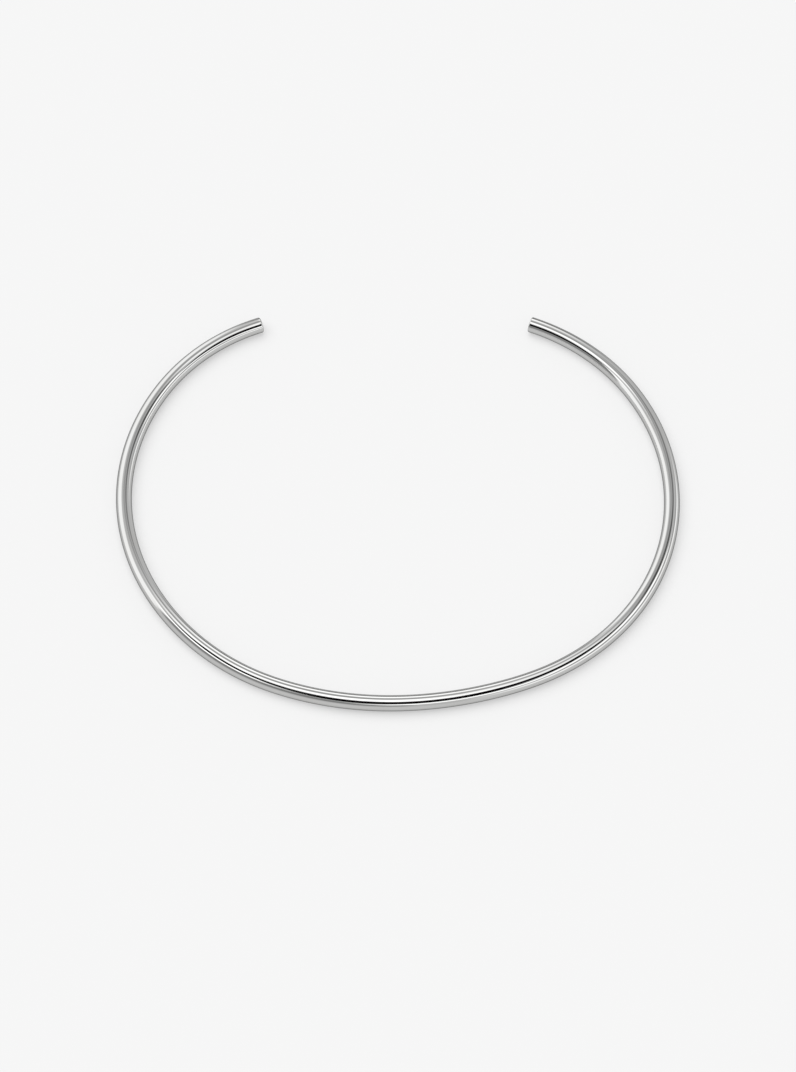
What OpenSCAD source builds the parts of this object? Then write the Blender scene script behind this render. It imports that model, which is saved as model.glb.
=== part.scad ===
// A rigid collar: one round metal rod bent into an open oval that lies flat.
// The front bow faces -Y, the opening faces +Y, and the rod rests on z = 0.

/* [Rod] */
// Diameter of the round rod
rod_d = 3.8; // [3:0.1:6]
// Rounding of the edge round each flat-cut tip
edge_r = 0.3; // [0.1:0.1:1]

/* [Bows] */
// Bending radius of the front bow, to the middle of the rod
front_r = 84; // [76:0.5:94]
// Bending radius of each side bow, to the middle of the rod
side_r = 56; // [50:0.5:64]
// Bending radius of each back arm, to the middle of the rod
back_r = 49; // [44:0.5:58]

/* [Hidden] */
$fn = 96;
metal_colour = [0.80, 0.80, 0.80];
rod_r = rod_d / 2;

// Headings of the right half's rod, as unit vectors, where one bow hands over to the next.
// Each comes from a right triangle with whole-number sides, so the bows meet face to face.
front_end = [117, 44] / 125;   // 20.6 degrees from +X
side_end = [-336, 527] / 625;  // 122.5 degrees from +X
tip_end = [-117, 44] / 125;    // 159.4 degrees from +X

// The direction from a bow's centre out to the rod, where the rod has this heading
function outward(heading) = [heading.y, -heading.x];
// The same heading on the left half, which runs the other way round
function mirrored(heading) = [heading.x, -heading.y];

// Bow centres, from the middle of the front bow. Where two bows meet,
// both centres lie on one line with the joint, so the rod runs on without a kink.
front_centre = [0, front_r];
side_centre = front_centre + (front_r - side_r) * outward(front_end);
back_centre = side_centre + (side_r - back_r) * outward(side_end);
tip_offset = back_r * outward(tip_end);

// How far back the rounded tips reach, and from that the middle of the whole depth
tip_reach = (rod_r - edge_r) * outward(tip_end).y + edge_r;
back_depth = back_centre.y + tip_offset.y + tip_reach;
mid_depth = (back_depth - rod_r) / 2;
// The sides of the wedge that cuts a bow from its full ring: longer than any bow's radius
wedge_side = 250;

// The stretch of a full ring of rod between two headings.
module bow(centre, radius, from, to) {
    start_side = wedge_side * outward(from);
    end_side = wedge_side * outward(to);
    translate(centre)
        intersection() {
            rotate_extrude()
                translate([radius, 0])
                    circle(r = rod_r);
            linear_extrude(height = 2 * rod_d, center = true)
                polygon([[0, 0], start_side, start_side + end_side, end_side]);
        }
}

// Half the outline of the tip's last slice: flat on its end, round at its edge.
module tip_profile() {
    square([rod_r - edge_r, edge_r]);
    intersection() {
        translate([rod_r - edge_r, 0])
            circle(r = edge_r);
        square([rod_r, edge_r]);
    }
}

// The flat-cut end with its broken edge, on the end of a back arm.
module tip() {
    translate(back_centre)
        translate(tip_offset)
            rotate([0, 0, atan2(tip_end.y, tip_end.x)])
                rotate([0, 90, 0])
                    rotate_extrude()
                        tip_profile();
}

// From the end of the front bow round one side to its tip.
module arm() {
    bow(side_centre, side_r, front_end, side_end);
    bow(back_centre, back_r, side_end, tip_end);
    tip();
}

module collar() {
    color(metal_colour)
        translate([0, -mid_depth, rod_r]) {
            bow(front_centre, front_r, mirrored(front_end), front_end);
            arm();
            mirror([1, 0, 0])
                arm();
        }
}

collar();
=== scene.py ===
import math
import bpy
import numpy as np
from mathutils import Matrix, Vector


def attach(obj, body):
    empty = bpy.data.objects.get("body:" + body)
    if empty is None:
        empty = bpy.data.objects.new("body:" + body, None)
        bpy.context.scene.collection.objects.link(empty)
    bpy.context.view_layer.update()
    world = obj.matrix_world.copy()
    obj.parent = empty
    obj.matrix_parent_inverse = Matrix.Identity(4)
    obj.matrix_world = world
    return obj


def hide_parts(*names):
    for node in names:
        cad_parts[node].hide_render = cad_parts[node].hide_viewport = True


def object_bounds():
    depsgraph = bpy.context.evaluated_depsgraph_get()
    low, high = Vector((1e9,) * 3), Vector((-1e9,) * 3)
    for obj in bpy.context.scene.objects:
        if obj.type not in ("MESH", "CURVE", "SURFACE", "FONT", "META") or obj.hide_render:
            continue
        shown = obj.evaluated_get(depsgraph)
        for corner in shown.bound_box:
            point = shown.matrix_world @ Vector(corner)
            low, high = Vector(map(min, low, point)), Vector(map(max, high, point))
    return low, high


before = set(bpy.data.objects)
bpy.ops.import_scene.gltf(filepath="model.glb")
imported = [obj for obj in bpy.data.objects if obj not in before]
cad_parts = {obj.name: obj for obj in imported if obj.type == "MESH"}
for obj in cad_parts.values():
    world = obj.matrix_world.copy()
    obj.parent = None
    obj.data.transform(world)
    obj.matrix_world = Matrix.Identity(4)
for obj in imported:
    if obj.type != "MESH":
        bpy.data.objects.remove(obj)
cadLow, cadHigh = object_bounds()
scene = bpy.context.scene
mm = 0.001  # the scene is in metres


# An sRGB hex colour as the linear numbers that shaders take:
# dark values are divided by 12.92, the others follow the 2.4 power curve.
def linearColour(hexCode):
    srgb = np.array([int(hexCode[i:i + 2], 16) for i in (1, 3, 5)]) / 255
    linear = np.where(srgb <= 0.04045, srgb / 12.92, ((srgb + 0.055) / 1.055) ** 2.4)
    return (*linear.tolist(), 1.0)


# Adds a node with its properties, its socket values and its links.
def addNode(tree, kind, settings=None, values=None, links=None):
    node = tree.nodes.new(kind)
    for name, value in (settings or {}).items():
        setattr(node, name, value)
    for name, value in (values or {}).items():
        node.inputs[name].default_value = value
    for name, output in (links or {}).items():
        tree.links.new(output, node.inputs[name])
    return node


# A new material with an empty node tree and an output node.
def emptyMaterial(name):
    material = bpy.data.materials.new(name)
    material.use_nodes = True
    material.node_tree.nodes.clear()
    output = addNode(material.node_tree, "ShaderNodeOutputMaterial")
    return material, material.node_tree, output


# Eases from 0 to 1 as value goes from start to end: 3 t squared less 2 t cubed.
def easeBetween(value, start, end):
    t = np.clip((value - start) / (end - start), 0, 1)
    return t * t * (3 - 2 * t)


# A smooth mesh object from points and faces, with its own material.
def makeObject(name, points, faces, material):
    mesh = bpy.data.meshes.new(name)
    mesh.from_pydata(points.reshape(-1, 3).tolist(), [], faces)
    mesh.polygons.foreach_set("use_smooth", np.ones(len(mesh.polygons), dtype=bool))
    mesh.materials.append(material)
    mesh.update()
    made = bpy.data.objects.new(name, mesh)
    scene.collection.objects.link(made)
    return made


# The quads of a grid of points: each joins a point to the next in its row and the next row.
# A closed grid also joins the last point of a row to its first.
def gridQuads(rows, columns, closed):
    index = np.arange(rows * columns).reshape(rows, columns)
    if closed:
        index = np.concatenate([index, index[:, :1]], axis=1)
    corners = [index[:-1, :-1], index[1:, :-1], index[1:, 1:], index[:-1, 1:]]
    return np.stack([c.ravel() for c in corners], axis=1).tolist()


# The photograph's camera, round the middle of the collar. Angles are in degrees.
photoView = {
    "elevation": 58.0,
    "turn": -1.2,
    "roll": 0.79,
    "distance": 1.2,
    "aim": (-0.04 * mm, -7.47 * mm, 1.9 * mm),
    "lens": 168.48,
    "sensor": 36.0,  # across the long side of the picture
}


# Looks from azimuth turn and from elevation above the surface, then rolls about the line of sight.
def makeCamera(view):
    elevation, turn, roll = (math.radians(view[k]) for k in ("elevation", "turn", "roll"))
    back = np.array([math.sin(turn) * math.cos(elevation),
                     -math.cos(turn) * math.cos(elevation),
                     math.sin(elevation)])
    right = np.array([math.cos(turn), math.sin(turn), 0])
    up = np.cross(back, right)
    rolledRight = math.cos(roll) * right + math.sin(roll) * up
    rolledUp = math.cos(roll) * up - math.sin(roll) * right
    eye = np.array(view["aim"]) + view["distance"] * back
    data = bpy.data.cameras.new("photoCamera")
    data.lens, data.sensor_width = view["lens"], view["sensor"]
    camera = bpy.data.objects.new("photoCamera", data)
    turned = np.eye(4)
    turned[:3] = np.column_stack([rolledRight, rolledUp, back, eye])
    camera.matrix_world = Matrix(turned.tolist())
    scene.collection.objects.link(camera)
    scene.camera = camera


makeCamera(photoView)
print("camera set to the photograph's angle")

# The surface that the collar lies on, and the light that makes its soft shadow. Lengths are in
# metres, angles in degrees.
studio = {
    "floorSide": 16.0,
    "floorColour": "#747474",
    "floorGlow": 0.5,        # the table's light from below
    "skyColour": "#F7F7F7",
    "skyStrength": 1.0,
    "sunStrength": 5.0,
    "sunSpread": 70.0,       # the wider, the softer the shadow
    "sunElevation": 70.0,
    "sunAzimuth": -123.0,    # behind the collar on the left
    "domeRadius": 0.6,
    "flagRadius": 0.25,      # as close in as the black flags hang
    "domeStep": 0.5,         # between the dome's grid lines
    "domeLow": -1.0,         # the elevation of its lowest grid line, just under the floor
    "domeTop": 89.9,         # short of 90, so that its top ring isn't a single point
    "roomGlow": 0.8,         # the dome where no card hangs
}


# A direction from an azimuth, 0 towards the camera and 90 to the right, and an elevation.
def direction(azimuth, elevation):
    a, e = np.radians(azimuth), np.radians(elevation)
    return np.stack([np.sin(a) * np.cos(e), -np.cos(a) * np.cos(e), np.sin(e) + 0 * a], axis=-1)


# Opal acrylic on a light table: lit from below as well, which thins the collar's shadow.
def makeFloor(values):
    opal, tree, output = emptyMaterial("opalAcrylic")
    matt = addNode(tree, "ShaderNodeBsdfDiffuse", values={"Color": linearColour(values["floorColour"])})
    below = addNode(tree, "ShaderNodeEmission", values={"Strength": values["floorGlow"]})
    both = addNode(tree, "ShaderNodeAddShader",
                   links={0: matt.outputs["BSDF"], 1: below.outputs["Emission"]})
    tree.links.new(both.outputs["Shader"], output.inputs["Surface"])
    half = values["floorSide"] / 2
    corners = np.array([[-half, -half, 0], [half, -half, 0], [half, half, 0], [-half, half, 0]])
    makeObject("floorOpal", corners, [[0, 1, 2, 3]], opal)


# Even light from all round, and one wide soft light from behind on the left.
def makeLights(values):
    world = bpy.data.worlds.new("softSky")
    world.use_nodes = True
    sky = world.node_tree.nodes["Background"]
    sky.inputs["Color"].default_value = linearColour(values["skyColour"])
    sky.inputs["Strength"].default_value = values["skyStrength"]
    scene.world = world
    sun = bpy.data.lights.new("windowLight", "SUN")
    sun.energy, sun.angle = values["sunStrength"], math.radians(values["sunSpread"])
    lamp = bpy.data.objects.new("windowLight", sun)
    toLamp = direction(values["sunAzimuth"], values["sunElevation"])
    side = np.cross([0, 0, 1], toLamp)
    side /= np.linalg.norm(side)
    turned = np.eye(4)
    turned[:3, :3] = np.column_stack([side, np.cross(toLamp, side), toLamp])
    lamp.matrix_world = Matrix(turned.tolist())
    lamp.visible_glossy = False
    scene.collection.objects.link(lamp)


# What the polished rod mirrors. Each card covers a span of azimuths and a span of elevations,
# in degrees, with soft borders of the given widths, and the later cards cover the earlier ones.
# A card that leans slides over by its lean times the elevation above its middle. The dark camera
# side makes the black line along the rod, and the windows and strips make the white ones.
studioCards = {
    "overhead": {"azimuth": (-190, 190), "elevation": (74, 100), "border": (2, 8), "glow": 2.2},
    "lightBehindLeft": {"azimuth": (-160, -80), "elevation": (62, 90), "border": (30, 8), "glow": 2},
    "lightBehindRight": {"azimuth": (95, 160), "elevation": (65, 90), "border": (20, 6), "glow": 1.6},
    "wallLeft": {"azimuth": (-165, -81), "elevation": (-10, 42), "border": (5, 10), "glow": 1.6},
    "wallFront": {"azimuth": (-81, 5), "elevation": (13, 36), "border": (5, 10), "glow": 0.35},
    "shelfLeft": {"azimuth": (-95, -35), "elevation": (39, 50), "border": (40, 5), "glow": 2.5},
    "wallRight": {"azimuth": (35, 125), "elevation": (18, 31), "border": (30, 8), "glow": 0.5},
    "stripRight": {"azimuth": (25, 125), "elevation": (1, 17), "border": (20, 8), "glow": 1.6},
    "bandRight": {"azimuth": (40, 112), "elevation": (33, 48), "border": (15, 6), "glow": 2},
    "windowFront": {"azimuth": (-5, 45), "elevation": (27, 41), "border": (20, 4), "glow": 2},
    "windowBehind": {"azimuth": (163, 187), "elevation": (20, 44), "border": (15, 14), "glow": 2},
    "postBehind": {"azimuth": (155, 195), "elevation": (-5, 13), "border": (15, 8), "glow": 0.1},
    "cornerBehind": {"azimuth": (140, 162), "elevation": (38, 60), "border": (20, 10), "glow": 0.35},
    "ceilingBehind": {"azimuth": (172, 200), "elevation": (50, 76), "border": (30, 10), "glow": 0.5},
    "ceilingRight": {"azimuth": (105, 148), "elevation": (48, 61), "border": (30, 6), "glow": 0.1},
    "cameraHaze": {"azimuth": (-40, 82), "elevation": (55, 73), "border": (30, 10), "glow": 0.1},
    "cameraSide": {"azimuth": (-76, 77), "elevation": (51, 67), "border": (20, 4), "glow": 0, "lean": 2},
    "cameraBody": {"azimuth": (-35, 40), "elevation": (41, 55), "border": (25, 3), "glow": 0},
}

# Black flags hang closer in. Each hides a part of the cards from the tip on its far side.
studioFlags = {
    "flagLeft": {"azimuth": (-88, -30), "elevation": (43, 62), "border": (10, 5)},
    "flagRight": {"azimuth": (30, 95), "elevation": (48, 66), "border": (10, 5)},
}


# How much of a direction a card covers, 0 to 1: all of it inside its spans, easing out at the borders.
def cardCover(card, azimuth, elevation):
    above = elevation - sum(card["elevation"]) / 2
    beside = azimuth - card.get("lean", 0) * above - sum(card["azimuth"]) / 2
    cover = np.ones(azimuth.shape)
    for away, side in ((np.abs((beside + 180) % 360 - 180), 0), (np.abs(above), 1)):
        reach = np.ptp(card[("azimuth", "elevation")[side]]) / 2
        half = card["border"][side] / 2
        cover *= 1 - easeBetween(away, reach - half, reach + half)
    return cover


# A shell round the collar, seen only in its reflections. A point of its grid is the radius times
# its direction, and carries the named value.
def makeShell(name, radius, azimuth, elevation, attribute, value, material):
    shell = makeObject(name, radius * direction(azimuth, elevation), gridQuads(*azimuth.shape, True),
                       material)
    shell.data.attributes.new(attribute, "FLOAT", "POINT").data.foreach_set("value", value.ravel())
    shell.visible_camera = shell.visible_diffuse = shell.visible_shadow = False
    shell.visible_transmission = shell.visible_volume_scatter = False


# Each card in turn draws the dome's glow towards its own, by the share that it covers. What the
# flags leave clear is the product of what each one leaves clear, and their cover is the rest.
def makeDome(values, cards, flags):
    step = values["domeStep"]
    upward = np.arange(values["domeLow"], 90 + step, step)
    azimuth, elevation = np.meshgrid(np.arange(-180, 180, step), np.minimum(upward, values["domeTop"]))
    glow = np.full(azimuth.shape, values["roomGlow"])
    for card in cards.values():
        glow += (card["glow"] - glow) * cardCover(card, azimuth, elevation)
    light, tree, output = emptyMaterial("domeLight")
    light.cycles.emission_sampling = "NONE"  # found by mirrored rays, never sampled as a lamp
    seen = addNode(tree, "ShaderNodeAttribute", {"attribute_name": "glow"})
    shine = addNode(tree, "ShaderNodeEmission", links={"Strength": seen.outputs["Fac"]})
    tree.links.new(shine.outputs["Emission"], output.inputs["Surface"])
    makeShell("lightDome", values["domeRadius"], azimuth, elevation, "glow", glow, light)
    clear = np.ones(azimuth.shape)
    for flag in flags.values():
        clear *= 1 - cardCover(flag, azimuth, elevation)
    velvet, tree, output = emptyMaterial("blackVelvet")
    seen = addNode(tree, "ShaderNodeAttribute", {"attribute_name": "cover"})
    beyond = addNode(tree, "ShaderNodeBsdfTransparent")
    black = addNode(tree, "ShaderNodeEmission", values={"Strength": 0.0})
    edged = addNode(tree, "ShaderNodeMixShader",
                    links={0: seen.outputs["Fac"], 1: beyond.outputs["BSDF"],
                           2: black.outputs["Emission"]})
    tree.links.new(edged.outputs["Shader"], output.inputs["Surface"])
    makeShell("flagShell", values["flagRadius"], azimuth, elevation, "cover", 1 - clear, velvet)


makeFloor(studio)
makeLights(studio)
makeDome(studio, studioCards, studioFlags)
scene.view_settings.view_transform = "Standard"
print("floor, lights and dome made")

# The rod as the bending jig leaves it, in mm. Each bow ends where the rod runs in the direction
# of the long side of a right triangle.
collarRod = {
    "diameter": 3.8,
    "frontRadius": 84.0,
    "sideRadius": 56.0,
    "backRadius": 49.0,
    "frontEnd": (117, 44),
    "sideEnd": (-336, 527),
    "tipEnd": (-117, 44),
    "blend": 14.0,       # the stretch over which one bow eases into the next
    "handBend": {6: -0.24, 9: -0.09},  # outward waves: how many half waves fit the rod, and their height
    "faceReach": 0.3,    # how far a tip's flat face lies past the end of its bow
    "cutShort": (0.25, 0.35),   # what sawing took off the left tip and the right one
    "edgeRound": (0.4, 0.25),   # the broken edge round each face, left and right
    "pathStep": 0.1,     # between the points where the middle line is worked out
    "ringStep": 0.5,     # between rings along the rod
    "sides": 96,
    "edgeRings": 8,      # round the broken edge
    "faceRings": (0.97, 0.7, 0.4, 0.1, 0.002),  # on the flat face, as shares of its radius
    "mapStrips": 5,      # the rod's unrolled skin is cut into this many strips, which fill a square
    "mapMargin": 0.01,
}


# The rod's middle line from tip to tip, by the distance along it from the middle of the front.
# The bend (1 / radius) eases from bow to bow, the heading is the bend added up along the rod,
# and the place is the heading added up. Sine waves of a third of a mm then shift it outwards
# and inwards, as bending by hand leaves it, and the heading is read off it again.
def rodPath(rod):
    ends = [math.atan2(rod[k][1], rod[k][0]) for k in ("frontEnd", "sideEnd", "tipEnd")]
    radii = [rod[k] for k in ("frontRadius", "sideRadius", "backRadius")]
    joints = np.cumsum(np.diff([0, *ends]) * radii)
    half = round(joints[-1] / rod["pathStep"])
    along = np.linspace(-joints[-1], joints[-1], 2 * half + 1)
    bend = np.full(along.shape, 1 / radii[0])
    for joint, before, after in zip(joints, radii, radii[1:]):
        eased = easeBetween(np.abs(along), joint - rod["blend"] / 2, joint + rod["blend"] / 2)
        bend += (1 / after - 1 / before) * eased
    gap = along[1] - along[0]
    heading = np.concatenate([[0], np.cumsum((bend[1:] + bend[:-1]) / 2 * gap)])
    heading -= heading[half]
    run = np.stack([np.cos(heading), np.sin(heading)], axis=1)
    place = np.concatenate([[[0, 0]], np.cumsum((run[1:] + run[:-1]) / 2 * gap, axis=0)])
    place -= place[half]
    turns = math.pi / 2 * along / along[-1]
    shift = sum(height * np.sin(halves * turns) for halves, height in rod["handBend"].items())
    place = place + shift[:, None] * np.stack([run[:, 1], -run[:, 0]], axis=1)
    run = np.gradient(place, axis=0)
    run /= np.linalg.norm(run, axis=1)[:, None]
    return along, run, place


# How a tip closes, from the full rod to the middle of its face: a quarter circle round the edge,
# then rings on the flat face. Gives how far each ring reaches past the rod, and its radius.
def tipProfile(rod, radius, edge):
    turn = np.linspace(0, math.pi / 2, rod["edgeRings"] + 1)[1:]
    flat = (radius - edge) * np.array(rod["faceRings"])
    reach = np.concatenate([edge * np.sin(turn), np.full(flat.shape, edge)])
    return reach, np.concatenate([radius - edge + edge * np.cos(turn), flat])


# The skin unrolled into a square for a texture. How far a ring is along the skin, from the middle of
# one tip's face to the middle of the other's, gives its strip and its place across the square,
# and the turn gives the height in the strip. Corners come in the order of gridQuads, then the caps.
def unrollSkin(rod, lengthwise, radius):
    steps = np.hypot(np.diff(lengthwise), np.diff(radius))
    skin = np.concatenate([[0], np.cumsum(steps)]) / steps.sum() * rod["mapStrips"]
    strip = np.minimum(np.floor((skin[1:] + skin[:-1]) / 2), rod["mapStrips"] - 1)
    left, right = skin[:-1] - strip, skin[1:] - strip
    share = np.arange(rod["sides"] + 1) / rod["sides"]
    across = np.stack([left, right, right, left], axis=1)[:, None]
    upward = np.stack([share[:-1], share[:-1], share[1:], share[1:]], axis=1)[None]
    inner = 1 - 2 * rod["mapMargin"]
    corners = np.empty((len(strip), rod["sides"], 4, 2))
    corners[..., 0] = rod["mapMargin"] + inner * across
    corners[..., 1] = (strip[:, None, None] + rod["mapMargin"] + inner * upward) / rod["mapStrips"]
    firstCap, lastCap = corners[0, :, 0], corners[-1, ::-1, 1]
    return np.concatenate([corners.reshape(-1, 2), firstCap, lastCap])


# The rod's surface: a circle carried along the path, which shrinks to a point over each tip.
# A point is the path's place, plus the ring's radius times (cos of the turn outwards and sin
# of the turn upwards). The straightened place is the same point on the rod before bending.
def makeCollar(rod, material):
    along, run, place = rodPath(rod)
    full = rod["diameter"] / 2
    trims = list(zip(rod["cutShort"], rod["edgeRound"]))
    leftEnd, rightEnd = (along[-1] + rod["faceReach"] - short - edge for short, edge in trims)
    stations = np.linspace(-leftEnd, rightEnd, round((leftEnd + rightEnd) / rod["ringStep"]) + 1)
    leftTip, rightTip = (tipProfile(rod, full, edge) for edge in rod["edgeRound"])
    rodRings = np.zeros(stations.shape)
    past = np.concatenate([-leftTip[0][::-1], rodRings, rightTip[0]])
    radius = np.concatenate([leftTip[1][::-1], rodRings + full, rightTip[1]])
    station = np.concatenate([0 * leftTip[0] - leftEnd, stations, 0 * rightTip[0] + rightEnd])
    ringRun, ringPlace = (np.stack([np.interp(station, along, line[:, k]) for k in (0, 1)], axis=1)
                          for line in (run, place))
    middle = ringPlace + ringRun * past[:, None]
    turn = np.linspace(-math.pi / 2, 1.5 * math.pi, rod["sides"], endpoint=False)
    outward = np.stack([ringRun[:, 1], -ringRun[:, 0]], axis=1)
    across = radius[:, None] * np.cos(turn)
    height = radius[:, None] * np.sin(turn)
    points = np.empty((len(station), len(turn), 3))
    points[..., :2] = middle[:, None] + across[..., None] * outward[:, None]
    points[..., 2] = height
    points = points * mm + [0, cadLow.y + full * mm, full * mm]
    quads = gridQuads(*points.shape[:2], True)
    firstRing = list(range(rod["sides"]))
    lastRing = [(len(station) - 1) * rod["sides"] + k for k in reversed(firstRing)]
    collar = makeObject("collarRod", points, quads + [firstRing, lastRing], material)
    straight = np.stack([(station + past)[:, None] + 0 * across, across, height], axis=-1)
    onFace = np.concatenate([leftTip[0][::-1] >= rod["edgeRound"][0], rodRings > 0,
                             rightTip[0] >= rod["edgeRound"][1]])
    straightPlace = collar.data.attributes.new("straightPlace", "FLOAT_VECTOR", "POINT")
    straightPlace.data.foreach_set("vector", (straight * mm).ravel())
    cutFace = collar.data.attributes.new("cutFace", "FLOAT", "POINT")
    cutFace.data.foreach_set("value", np.repeat(onFace * 1.0, rod["sides"]))
    # the name that the export keeps
    unrolled = collar.data.uv_layers.new(name="OFBake")  # a UV map of the unrolled skin, named OFBake
    unrolled.data.foreach_set("uv", unrollSkin(rod, station + past, radius).ravel())
    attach(collar, "root")
    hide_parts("collar")


# What the finish shows. Widths, lengths and depths are in mm.
chromeFinish = {
    "colour": "#C7C8C8",
    "hazeColour": "#BFBEBC",
    "edgeTint": "#8B8B8B",   # dims the mirror where it is seen at a grazing angle
    "roughness": (0.03, 0.13),    # of the best polished patches and of the dullest
    "polishSpan": (0.15, 0.4),    # the noise that makes the best and the dullest
    "biteSpan": (0.35, 0.65),     # the noise between which the file goes from no bite to a full one
    "cutColour": "#9A9A99",  # in the file's lines on the flat ends
    "cutRoughness": 0.25,    # added there
    "streakWidth": 0.4,
    "streakLength": 14.0,
    "streakDepth": 0.002,
    "hazeWidth": 9.0,
    "waveLength": 7.0,
    "waveDepth": 0.004,
    "fileWidth": 0.12,
    "fileLength": 3.0,
    "fileDepth": 0.009,
}


# Polished chrome plate on brass: a near-perfect mirror, a little darker than silver. Buffing
# along the rod leaves faint long streaks, and handling leaves soft patches of warmer haze.
# The flat ends were sawn and filed before plating, so they shine softly and show fine lines.
def chromePlateOnBrass(finish):
    chrome, tree, output = emptyMaterial("polishedChromePlateOnBrass")
    place = addNode(tree, "ShaderNodeAttribute", {"attribute_name": "straightPlace"})
    cut = addNode(tree, "ShaderNodeAttribute", {"attribute_name": "cutFace"})
    # Buffing lines are hundredths of a mm wide on the real rod: drawn at ten times that to show.
    across = 1 / (finish["streakWidth"] * mm)
    stretched = addNode(tree, "ShaderNodeMapping",
                        values={"Scale": (1 / (finish["streakLength"] * mm), across, across)},
                        links={"Vector": place.outputs["Vector"]})
    streaks = addNode(tree, "ShaderNodeTexNoise", values={"Scale": 1.0, "Detail": 3.0, "Roughness": 0.6},
                      links={"Vector": stretched.outputs["Vector"]})
    haze = addNode(tree, "ShaderNodeTexNoise",
                   values={"Scale": 1 / (finish["hazeWidth"] * mm), "Detail": 4.0, "Roughness": 0.55},
                   links={"Vector": place.outputs["Vector"]})
    mixed = addNode(tree, "ShaderNodeMath", {"operation": "MULTIPLY"},
                    links={0: streaks.outputs["Fac"], 1: haze.outputs["Fac"]})
    low, high = finish["roughness"]
    best, dullest = finish["polishSpan"]
    buffedRoughness = addNode(tree, "ShaderNodeMapRange",
                              values={"From Min": best, "From Max": dullest,
                                      "To Min": low, "To Max": high},
                              links={"Value": mixed.outputs["Value"]})
    # File lines run up and down the face. They are drawn three times as coarse as real ones.
    turned = addNode(tree, "ShaderNodeMapping",
                     values={"Scale": (0, 1 / (finish["fileWidth"] * mm), 1 / (finish["fileLength"] * mm))},
                     links={"Vector": place.outputs["Vector"]})
    lines = addNode(tree, "ShaderNodeTexNoise", values={"Scale": 1.0, "Detail": 2.0},
                    links={"Vector": turned.outputs["Vector"]})
    noBite, fullBite = finish["biteSpan"]
    bitten = addNode(tree, "ShaderNodeMapRange", values={"From Min": noBite, "From Max": fullBite},
                     links={"Value": lines.outputs["Fac"], "To Max": cut.outputs["Fac"]})
    roughness = addNode(tree, "ShaderNodeMath", {"operation": "MULTIPLY_ADD"},
                        values={1: finish["cutRoughness"]},
                        links={0: bitten.outputs["Result"], 2: buffedRoughness.outputs["Result"]})
    # A Mix node's colours are its sockets 6 and 7, and the mixed colour is its output 2.
    hazed = addNode(tree, "ShaderNodeMix", {"data_type": "RGBA"},
                    values={6: linearColour(finish["colour"]), 7: linearColour(finish["hazeColour"])},
                    links={0: haze.outputs["Fac"]})
    colour = addNode(tree, "ShaderNodeMix", {"data_type": "RGBA"},
                     values={7: linearColour(finish["cutColour"])},
                     links={0: bitten.outputs["Result"], 6: hazed.outputs[2]})
    waves = addNode(tree, "ShaderNodeTexNoise",
                    values={"Scale": 1 / (finish["waveLength"] * mm), "Detail": 1.0},
                    links={"Vector": place.outputs["Vector"]})
    rolled = addNode(tree, "ShaderNodeBump", values={"Distance": finish["waveDepth"] * mm},
                     links={"Height": waves.outputs["Fac"]})
    buffed = addNode(tree, "ShaderNodeBump", values={"Distance": finish["streakDepth"] * mm},
                     links={"Height": streaks.outputs["Fac"], "Normal": rolled.outputs["Normal"]})
    filed = addNode(tree, "ShaderNodeBump", values={"Distance": finish["fileDepth"] * mm},
                    links={"Height": lines.outputs["Fac"], "Strength": cut.outputs["Fac"],
                           "Normal": buffed.outputs["Normal"]})
    shader = addNode(tree, "ShaderNodeBsdfPrincipled",
                     values={"Metallic": 1.0, "Specular Tint": linearColour(finish["edgeTint"])},
                     links={"Base Color": colour.outputs[2], "Roughness": roughness.outputs["Value"],
                            "Normal": filed.outputs["Normal"]})
    tree.links.new(shader.outputs["BSDF"], output.inputs["Surface"])
    return chrome


makeCollar(collarRod, chromePlateOnBrass(chromeFinish))
print("collar made")
